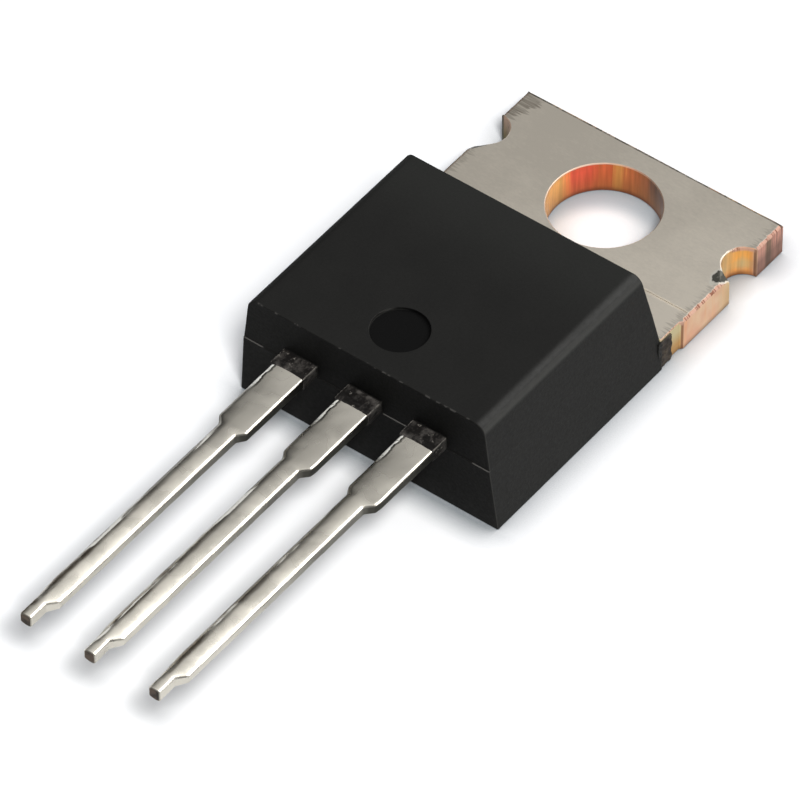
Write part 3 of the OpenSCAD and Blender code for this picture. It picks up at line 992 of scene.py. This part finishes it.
class REGULATOR_OT_body(Operator):
    """Builds the moulded body with its recess, resin collars and feet"""

    bl_idname = "regulator.moulded_body"
    bl_label = "Moulded body"

    def execute(self, context):
        s = sizes(context.scene.regulator_body)
        tab = sizes(context.scene.regulator_tab)
        leads = sizes(context.scene.regulator_leads)
        front = body_front(s)
        piece = body_block(s, tab.thickness)
        rim = 0.02
        combine(piece, turned(
            (0, front + s.recess_setback), [
                (s.recess_radius - rim, s.height - s.recess_depth),
                (s.recess_radius, s.height - s.recess_depth + rim),
                (s.recess_radius, s.height - rim),
                (s.recess_radius + rim / 3, s.height - rim / 3),
                (s.recess_radius + rim, s.height),
                (s.recess_radius + rim, s.height + CLEAR),
            ]
        ), "DIFFERENCE")
        # Room for the pad, its rebate and the part of the tab behind the rebate
        pad, key, behind = tab.pad_half, tab.rebate, CLEAR - s.back
        for low, high in (
            ((-pad, -tab.pad_front, key), (pad, behind, tab.thickness)),
            ((key - pad, key - tab.pad_front, -CLEAR), (pad - key, behind, key)),
            ((-pad, -s.back - key, -CLEAR), (pad, behind, key)),
        ):
            combine(piece, block(low, high), "DIFFERENCE")
        half = leads.shoulder / 2 + s.collar_wall
        low = leads.underside - s.collar_wall
        high = leads.underside + leads.thickness + s.collar_wall
        lap, foot_inner, foot_length, foot_drop = 0.2, 4.8, 0.57, 0.03
        for side in LEADS.values():
            x = side * leads.pitch
            combine(piece, cast_block(
                (x - half, front - s.collar, low), (x + half, front + lap, high),
                radius=0.05, cuts=26, wave=0.10, depth=0.016,
            ), "UNION")
        for side in (-1, 1):
            left, right = sorted((side * foot_inner, side * s.half_width))
            combine(piece, cast_block(
                (left, -s.back - lap, 0),
                (right, -s.back + foot_length, tab.thickness - foot_drop),
                radius=0.06, cuts=18, wave=0.25, depth=0.035,
            ), "UNION")
        finish_piece(
            piece, epoxy_finish(context.scene.regulator_finish, s, leads),
            "epoxy_mould", "mould_body",
        )
        return {"FINISHED"}


# ---- Tab ----


def tab_outline(s, body_back):
    """The outline of ears, neck and pad, as (x, y, roll) anticlockwise."""
    half, neck = s.half_width, s.half_width - s.neck_inset
    neck_y = body_back + s.neck
    notch = Vector((half + s.notch_outset, s.notch_offset))
    edge = math.acos(s.notch_outset / s.notch_radius)
    bite = [
        (x, y, s.edge_roll)
        for x, y in arc(notch, s.notch_radius, math.pi + edge, -2 * edge, 28)
    ]
    right = [
        (s.pad_half, -s.pad_front, s.edge_roll),
        (s.pad_half, body_back, s.edge_roll),
        (neck, body_back, s.edge_roll),
        (neck, neck_y - 0.04, s.edge_roll),
        (half, neck_y + 0.06, s.edge_roll),
        (half, neck_y + 0.18, s.side_roll),
        (half, bite[0][1] - 0.1, s.side_roll),
        *bite,
        (half, bite[-1][1] + 0.08, s.side_roll),
        (half, s.end - 0.15, s.side_roll),
        (half, s.end, s.end_roll),
    ]
    left = [(-x, y, roll) for x, y, roll in reversed(right)]
    loop = refine(right + left, 0.1)
    for point in loop:
        painted_outer_highlight = 0.6 if point.x > 0 else 0.1
        point.z *= 1 + painted_outer_highlight * noise.noise(Vector((point.x, point.y * 7, 0)))
    return loop


class REGULATOR_OT_tab(Operator):
    """Builds the copper tab and die pad with rolled edges and pressed corners"""

    bl_idname = "regulator.tab_plate"
    bl_label = "Copper tab"

    def execute(self, context):
        s = sizes(context.scene.regulator_tab)
        body = sizes(context.scene.regulator_body)
        leads = sizes(context.scene.regulator_leads)
        hole = [
            Vector((x, y, s.edge_roll))
            for x, y in arc((0, 0), s.hole_radius, 0, -math.tau, 96)
        ]
        piece = rolled_plate(
            "tab_plate", [tab_outline(s, -body.back), hole], 0, s.thickness,
            s.under_roll,
        )
        # The rebate under the pad's sides and front
        key, outside = s.rebate, s.pad_half + CLEAR
        inside, ahead = s.pad_half - key, -s.pad_front - CLEAR
        for low, high, back in (
            (-outside, -inside, -body.back - key), (inside, outside, -body.back - key),
            (-outside, outside, key - s.pad_front),
        ):
            cutter = block((low, ahead, -CLEAR), (high, back, key))
            combine(piece, cutter, "DIFFERENCE")
        self.press_corners(piece, s)
        # The score line is a groove on the right ear, deeper towards the edge
        start, end, half, fall = 2.3, 4.95, 0.014, math.radians(0.12)
        groove = block((start, -half, -half), (end, half, half))
        groove.data.transform(
            Matrix.Translation((0, -s.score, s.thickness + 0.01))
            @ Matrix.Rotation(fall, 4, "Y")
            @ Matrix.Rotation(math.radians(45), 4, "X")
        )
        combine(piece, groove, "DIFFERENCE")
        self.add_downset(piece, s, body, leads)
        finish_piece(
            piece, tab_finish(context.scene.regulator_finish, s, body),
            "plated_copper", "heat_tab",
        )
        return {"FINISHED"}

    def press_corners(self, piece, s):
        """Presses down the corner beside each notch."""
        width, run, drop, lap = 0.47, 0.72, 0.25, 0.14
        notch_end = s.notch_offset - math.sqrt(
            s.notch_radius ** 2 - s.notch_outset ** 2
        )
        yaw = math.atan2(-run, width)
        tilt = math.atan2(drop, width * (run - lap) / math.hypot(width, run))
        hinge = (s.half_width - width, notch_end + lap, s.thickness)
        for side in (1, -1):
            tool = block((-0.3, 0, 0), (0.86, 1, 1))
            tool.data.transform(
                Matrix.Diagonal((side, 1, 1, 1)) @ Matrix.Translation(hinge)
                @ Matrix.Rotation(yaw, 4, "Z") @ Matrix.Rotation(-tilt, 4, "X")
            )
            if side < 0:
                tool.data.flip_normals()
            combine(piece, tool, "DIFFERENCE")

    def add_downset(self, piece, s, body, leads):
        """Joins on the sloping root of the centre lead, inside the body."""
        slant = math.radians(60)
        slope = math.tan(slant)
        front = body_front(body)
        bend = front + SUNK
        low, high = leads.underside, leads.underside + leads.thickness
        across = leads.thickness / math.cos(slant)
        pad, top, lap = -s.pad_front, s.thickness - 0.02, 0.4
        foot = low - (pad - bend) * slope
        profile = [
            (front, low), (bend, low), (pad, foot), (pad + lap, foot),
            (pad + lap, top), (pad, top),
            (bend + (across - leads.thickness) / slope, high), (front, high),
        ]
        bm = bmesh.new()
        half = leads.shoulder / 2
        combine(piece, capped("downset", bm, [
            [bm.verts.new((x, y, z)) for y, z in profile] for x in (-half, half)
        ]), "UNION")


# ---- Leads ----


BLADE_INPUTS = {
    "Centre": 0.0, "Drift": 0.0, "Root": -12.12, "Tip": -26.22, "Shoulder": 1.3,
    "Shank": 0.86, "Tip width": 0.46, "Tip offset": 0.06, "Thickness": 0.5,
    "Underside": 2.6, "Shoulder end right": -16.15, "Neck right": -16.42,
    "Shoulder end left": -15.85, "Neck left": -16.3, "Point start right": -25.12,
    "Point end right": -25.47, "Point start left": -24.7, "Point end left": -25.8,
    "Edge radius right": 0.10, "Edge radius left": 0.21, "Tip edge radius": 0.085,
    "Tip radius": 0.06, "Crown right": 0.06, "Crown left": 0.13, "Tip crown": 0.03,
    "Ripple": 0.022, "Seed": 0.0,
}


def lead_blade():
    """A flat lead whose section follows the width and rolled edges of each part."""
    nodes, given = group_tree(
        "Lead blade", "GeometryNodeTree",
        [(name, "Float", value) for name, value in BLADE_INPUTS.items()]
        + [("Finish", "Material", None)],
        [("Lead", "Geometry", None)],
    )
    tube = nodes.outputs("GeometryNodeMeshCylinder", {
        "Vertices": 64, "Side Segments": 300, "Radius": 1.0, "Depth": 1.0,
    }, fill_type="NGON")
    across, up, along = nodes.split(nodes.output("GeometryNodeInputPosition", {}))
    # Most of the tube runs along the lead, and the rest closes its rounded tip
    share = along + 0.5
    body_share = 0.94
    turn = nodes.span(share, body_share, 1.0, 0.0, math.pi / 2)
    radius = given["Tip radius"]
    y = nodes.span(share, 0.0, body_share, given["Root"], given["Tip"] + radius)
    y -= radius * nodes.math("SINE", turn)
    inset = radius * (1.0 - nodes.math("COSINE", turn))

    def half_width(side):
        left = side == "left"
        kind = "SMOOTHSTEP" if left else "LINEAR"
        shank, tip = given["Shank"] * 0.5, given["Tip width"] * 0.5
        tip = tip + given["Tip offset"] if left else tip - given["Tip offset"]
        width = nodes.span(
            y, given["Shoulder end " + side], given["Neck " + side],
            given["Shoulder"] * 0.5, shank, kind,
        )
        cut = nodes.span(
            y, given["Point start " + side], given["Point end " + side], 0.0,
            shank - tip, kind,
        )
        return width - cut - inset

    def sign(value):
        return nodes.span(value, -0.001, 0.001, -1.0, 1.0)

    right = nodes.span(across, -0.001, 0.001)

    def either(one, other):
        return one * right + other * (1.0 - right)

    def sided(name):
        return either(given[name + " right"], given[name + " left"])

    half = either(half_width("right"), half_width("left"))
    rise = given["Thickness"] * 0.5 - inset
    edge = nodes.math("MINIMUM", sided("Edge radius"), nodes.span(
        y, given["Point start left"], given["Point end right"], 0.25,
        given["Tip edge radius"],
    ))
    edge = nodes.math("MAXIMUM", edge - inset, 0.03)
    # Each quarter of the section is half a side, then a rounded edge, then half a top
    bearing = nodes.math("ARCTAN2", abs(up), abs(across))
    side_end, top_start = math.radians(11.25), math.radians(56.25)
    bend = nodes.span(bearing, side_end, top_start, 0.0, math.pi / 2)

    def place(direction, reach, run, swing):
        core = run * (reach - edge)
        out = nodes.math(swing, bend) * edge + core
        return out * sign(direction)

    x = place(across, half, nodes.span(bearing, math.pi / 2, top_start), "COSINE")
    z = place(up, rise, nodes.span(bearing, 0.0, side_end), "SINE")
    # The upper and lower faces fall away towards the sides
    point = given["Point start right"]
    crown = sided("Crown") + nodes.span(y, -17.0, point, 0.0, given["Tip crown"])
    crown *= nodes.span(y, -13.3, -16.0, 0.35, 1.0)
    crown *= nodes.span(y, point, given["Point end left"], 1.0, 0.35)
    bow = abs(x / nodes.math("MAXIMUM", half, 0.1)) ** 2.0
    bow = bow * crown / rise
    z *= 1.0 - bow
    # A faint ripple in the section, and a drift to one side past the shoulder
    spot = nodes.join(x * 1.2, y * 0.9 + given["Seed"], z * 1.2)
    ripple = nodes.span(nodes.noise(spot, 1.3, 2.0, 0.5), 0.1, 0.9, -1.0, 0.0)
    ripple *= given["Ripple"]
    x = ripple * across + x
    z = ripple * up + z
    slide = nodes.span(
        y, given["Shoulder end left"], given["Neck right"], 0.0, given["Drift"],
        "SMOOTHSTEP",
    )
    x += given["Centre"] + slide
    z += given["Thickness"] * 0.5 + given["Underside"]
    shaped = nodes.output("GeometryNodeSetPosition", {
        "Geometry": tube["Mesh"], "Position": nodes.join(x, y, z),
    })
    smooth = nodes.output("GeometryNodeSetShadeSmooth", {"Geometry": shaped})
    real = nodes.output("GeometryNodeRealizeInstances", {"Geometry": smooth})
    dressed = nodes.output("GeometryNodeSetMaterial", {
        "Geometry": real, "Material": given["Finish"],
    })
    nodes.put("NodeGroupOutput", {"Lead": dressed})
    return nodes.tree


def grown(name, tree, values):
    """The plain mesh that a Geometry Nodes tree makes from the given inputs."""
    piece = bpy.data.objects.new(name, bpy.data.meshes.new(name))
    bpy.context.scene.collection.objects.link(piece)
    modifier = piece.modifiers.new("Shape", "NODES")
    modifier.node_group = tree
    for item in tree.interface.items_tree:
        if item.in_out == "INPUT" and item.name in values:
            modifier[item.identifier] = values[item.name]
    return settle(piece)


class REGULATOR_OT_leads(Operator):
    """Builds the three tinned leads, the outer two with their bonding posts"""

    bl_idname = "regulator.leads"
    bl_label = "Leads"

    DRIFT = {"input_lead": 0.0, "centre_lead": -0.05, "output_lead": -0.07}

    def execute(self, context):
        s = sizes(context.scene.regulator_leads)
        body = sizes(context.scene.regulator_body)
        material = tin_finish(context.scene.regulator_finish, s, body)
        tree = lead_blade()
        bend = body_front(body) + SUNK
        for seed, (name, side) in enumerate(LEADS.items()):
            piece = grown(name, tree, {
                "Centre": side * s.pitch, "Drift": self.DRIFT[name], "Root": bend,
                "Tip": -s.reach, "Shoulder": s.shoulder, "Shank": s.shank,
                "Tip width": s.tip, "Thickness": s.thickness,
                "Underside": s.underside, "Seed": 7.3 * seed, "Finish": material,
            })
            if side:
                combine(piece, self.bonding_post(s, side, bend), "UNION")
            finish_piece(
                piece, material, "tinned_lead", name if side else "heat_tab",
                crease=60,
            )
        return {"FINISHED"}

    def bonding_post(self, s, side, bend):
        """The broad end of an outer lead, pierced to lock it in the resin."""
        near = s.pitch - s.shoulder / 2
        far = near + s.post
        front, back = bend - 0.02, bend + s.post_depth
        hole_inset, hole_radius, roll = 0.6, 0.3, 0.03
        outline = [(near, front), (far, front), (far, back), (near, back)]
        centre = (far - hole_inset, bend + hole_inset)
        loops = []
        for loop in (outline, arc(centre, hole_radius, 0, -math.tau, 40)):
            points = [Vector((side * x, y, roll)) for x, y in loop]
            loops.append(points if side > 0 else points[::-1])
        return rolled_plate(
            "post", loops, s.underside, s.underside + s.thickness, roll, steps=2
        )


# ---- Die and bonds ----


class REGULATOR_OT_inside(Operator):
    """Gives the die, its solder and the bond wires their finishes"""

    bl_idname = "regulator.inside"
    bl_label = "Die and bonds"

    def execute(self, context):
        wire = wire_finish()
        finishes = {
            "die": silicon_finish(), "die_solder": solder_finish(),
            "input_wire": wire, "output_wire": wire, "ground_wire": wire,
        }
        for name, material in finishes.items():
            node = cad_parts[name]
            for slot in node.material_slots:
                slot.material = material
        return {"FINISHED"}


# ---- Studio ----


class REGULATOR_OT_studio(Operator):
    """Sets up the floor, the lamps, the world and the camera"""

    bl_idname = "regulator.studio"
    bl_label = "Studio"

    GLOW = Vector((0.52, 0.54, 0.66))
    FRONT = Vector((0.45, -0.41, 0.82))

    def execute(self, context):
        self.lay_floor(context.scene)
        self.light(context.scene)
        self.place_camera(context.scene)
        return {"FINISHED"}

    def lay_floor(self, scene):
        """A pale floor, with painted shade near the part and under each lead."""
        bm = bmesh.new()
        bmesh.ops.create_grid(bm, x_segments=2, y_segments=2, size=0.5)
        floor = mesh_object("floor", bm)
        floor.data.transform(Matrix.Translation((0, 0, -0.00002)))
        floor.data.materials.append(self.floor_finish(
            scene.regulator_finish, sizes(scene.regulator_body),
            sizes(scene.regulator_leads),
        ))

    def floor_finish(self, look, body, leads):
        """The floor's own colour, and the shades that metal and the camera see."""
        n = Finish("studio_floor")
        path = n.outputs("ShaderNodeLightPath")
        x, y, _ = n.split(n.place)
        # How far a place lies out from the body's front, and past the lead tips
        out, past = body_front(body) - y, -leads.reach - y
        # Metal and resin mirror a floor with painted shade in front of the body,
        # lighter further out
        away = n.distance(x, y)
        painted_mirror_floor = n.span(out, 1.03, -0.97, 0.45, 1.0) + n.span(out, 3.93, 7.93, 0.0, 0.8)
        # Painted light: the mirrored floor is brighter round the hole
        painted_mirror_floor *= n.span(away, 2.2, 3.0, 1.9, 1.0)
        painted_mirror_floor = n.vector("SCALE", look.floor_mirrored, None, None, painted_mirror_floor)
        base = n.blend(path["Is Glossy Ray"], look.floor, painted_mirror_floor)
        # The tab shades the floor round the foot of its hole
        inner = n.distance(x - 0.35, y + 0.8)
        shade = n.span(inner, 1.6, 2.35, 0.0, 0.36, kind="SMOOTHSTEP")
        shade *= n.span(away, 2.2, 3.0, 1.0, 0.0)
        white = n.blend(shade, (1.0, 1.0, 1.0), (0.0, 0.12, 0.20))
        # Painted shade: the floor darkens near the part, most of all in front of the
        # body
        contact_shade = n.outputs("ShaderNodeAmbientOcclusion", {
            "Distance": 1.2 * MM,
        }, samples=6)["AO"]
        gain = n.span(out, -0.27, 0.03, 1.1, 1.75) * n.span(away, 2.0, 2.6, 0.75, 1.0)
        contact_shade = n.span(contact_shade, 1.0, 0.0, 0.0, 1.0) * gain
        white = n.blend(contact_shade, white, (0.0, 0.03, 0.05))
        # A soft shade lies to the left of each lead and runs a little past its tip
        shift = 1.63
        under = None
        narrow = n.span(past, -2.62, -2.02, 0.0, 0.12)
        for side in LEADS.values():
            aside = x - (side * leads.pitch - shift) - narrow
            aside = abs(aside) + narrow
            painted_band = n.span(aside, 0.5, 1.4, 1.0, 0.0, kind="SMOOTHSTEP")
            under = painted_band if under is None else n.math("MAXIMUM", under, painted_band)
        under *= n.span(past, -1.52, -0.32, 1.0, 0.0, kind="SMOOTHSTEP")
        near_body = n.span(out, -1.17, 0.23, 0.0, 0.12)
        under *= near_body + n.span(out, 0.93, 7.43, 0.0, 0.18)
        white = n.blend(under, white, (0.0, 0.01, 0.02))
        base = n.blend(path["Is Camera Ray"], base, white)
        cast = n.effect(cast_grain, Grain=0.05, Clouds=0.01)
        base = n.blend(cast["Clouds"] * 0.01, base, (0.9, 0.9, 0.9))
        return n.surface(
            base, 0.9, Specular_IOR_Level=0.0, Emission_Color=(1.0, 1.0, 1.0),
            Emission_Strength=path["Is Camera Ray"] * 0.06,
        )

    def light(self, scene):
        """An even sky that metal mirrors as a bright top and a side glow, and lamps."""
        world = bpy.data.worlds.new("studio_world")
        world.use_nodes = True
        scene.world = world
        n = Nodes(world.node_tree)
        path = n.outputs("ShaderNodeLightPath")
        way = n.outputs("ShaderNodeTexCoord")["Generated"]
        *_, up = n.split(way)
        sky = n.span(up, 0.05, 0.5, 0.05, 0.2) + n.span(up, 0.5, 0.98, 0.0, 0.66)
        glow = n.output("ShaderNodeVectorMath", {
            0: way, 1: self.GLOW.normalized(),
        }, "Value", operation="DOT_PRODUCT")
        glow = n.math("MAXIMUM", glow, 0.0) ** 6.0
        sky = glow * 0.7 + sky
        mirrored = n.join(sky, sky, sky)
        seen = n.blend(path["Is Glossy Ray"], (0.32, 0.33, 0.35), mirrored)
        seen = n.blend(path["Is Camera Ray"], seen, (1.0, 1.0, 1.0))
        back = n.output("ShaderNodeBackground", {"Color": seen, "Strength": 1.0})
        n.put("ShaderNodeOutputWorld", {"Surface": back})
        side = self.add_lamp(
            scene, "side_lamp", self.GLOW, distance=0.30, width=0.28, depth=0.20,
            energy=0.85,
        )
        side.visible_diffuse = False
        front = self.add_lamp(
            scene, "front_lamp", self.FRONT, distance=0.60, width=0.15, depth=0.15,
            energy=3.3,
        )
        front.visible_glossy = False

    def add_lamp(self, scene, name, direction, distance, width, depth, energy):
        """A softbox that faces the part from a direction."""
        data = bpy.data.lights.new(name, "AREA")
        data.shape = "RECTANGLE"
        data.size, data.size_y = width, depth
        data.energy = energy
        lamp = bpy.data.objects.new(name, data)
        scene.collection.objects.link(lamp)
        direction = direction.normalized()
        lamp.matrix_world = (
            Matrix.Translation(Vector((0.0, -0.011, 0.0)) + direction * distance)
            @ direction.to_track_quat("Z", "Y").to_matrix().to_4x4()
        )
        return lamp

    def place_camera(self, scene):
        """A long lens that looks down on the part from the front and the right."""
        turn, rise, roll = (math.radians(a) for a in (37.67, 46.65, -0.41))
        target = Vector((0.00042, -0.01136, 0.0020))
        distance = 0.2733
        back = Vector((
            math.cos(rise) * math.sin(turn), -math.cos(rise) * math.cos(turn),
            math.sin(rise),
        ))
        right = Vector((math.cos(turn), math.sin(turn), 0))
        up = back.cross(right)
        across = right * math.cos(roll) + up * math.sin(roll)
        upright = up * math.cos(roll) - right * math.sin(roll)
        data = bpy.data.cameras.new("camera")
        data.sensor_width = 36.0
        data.lens = 392.4
        data.clip_start = 0.01
        data.clip_end = 20.0
        camera = bpy.data.objects.new("camera", data)
        scene.collection.objects.link(camera)
        camera.matrix_world = Matrix.Translation(target + back * distance) @ Matrix(
            (across, upright, back)
        ).transposed().to_4x4()
        scene.camera = camera
        scene.view_settings.view_transform = "Standard"


# ---- Panel ----


OPERATORS = (
    REGULATOR_OT_body, REGULATOR_OT_tab, REGULATOR_OT_leads, REGULATOR_OT_inside,
    REGULATOR_OT_studio,
)
SETTINGS = {
    "regulator_body": RegulatorBody, "regulator_tab": RegulatorTab,
    "regulator_leads": RegulatorLeads, "regulator_finish": RegulatorFinish,
}


class REGULATOR_PT_panel(Panel):
    """Lists the regulator's settings and the steps that build it"""

    bl_idname = "REGULATOR_PT_panel"
    bl_label = "Voltage regulator"
    bl_space_type = "VIEW_3D"
    bl_region_type = "UI"
    bl_category = "Regulator"

    def draw(self, context):
        for name, group in SETTINGS.items():
            box = self.layout.box()
            box.label(text=group.__doc__)
            for prop in group.__annotations__:
                box.prop(getattr(context.scene, name), prop)
        for operator in OPERATORS:
            self.layout.operator(operator.bl_idname)


def register():
    for cls in (*SETTINGS.values(), *OPERATORS, REGULATOR_PT_panel):
        bpy.utils.register_class(cls)
    for name, group in SETTINGS.items():
        setattr(bpy.types.Scene, name, PointerProperty(type=group))


def unregister():
    for name in SETTINGS:
        delattr(bpy.types.Scene, name)
    for cls in reversed((*SETTINGS.values(), *OPERATORS, REGULATOR_PT_panel)):
        bpy.utils.unregister_class(cls)


def main():
    """Registers the classes and builds every piece and the studio."""
    register()
    bpy.ops.regulator.moulded_body()
    bpy.ops.regulator.tab_plate()
    bpy.ops.regulator.leads()
    bpy.ops.regulator.inside()
    bpy.ops.regulator.studio()


if __name__ == "__main__":
    main()
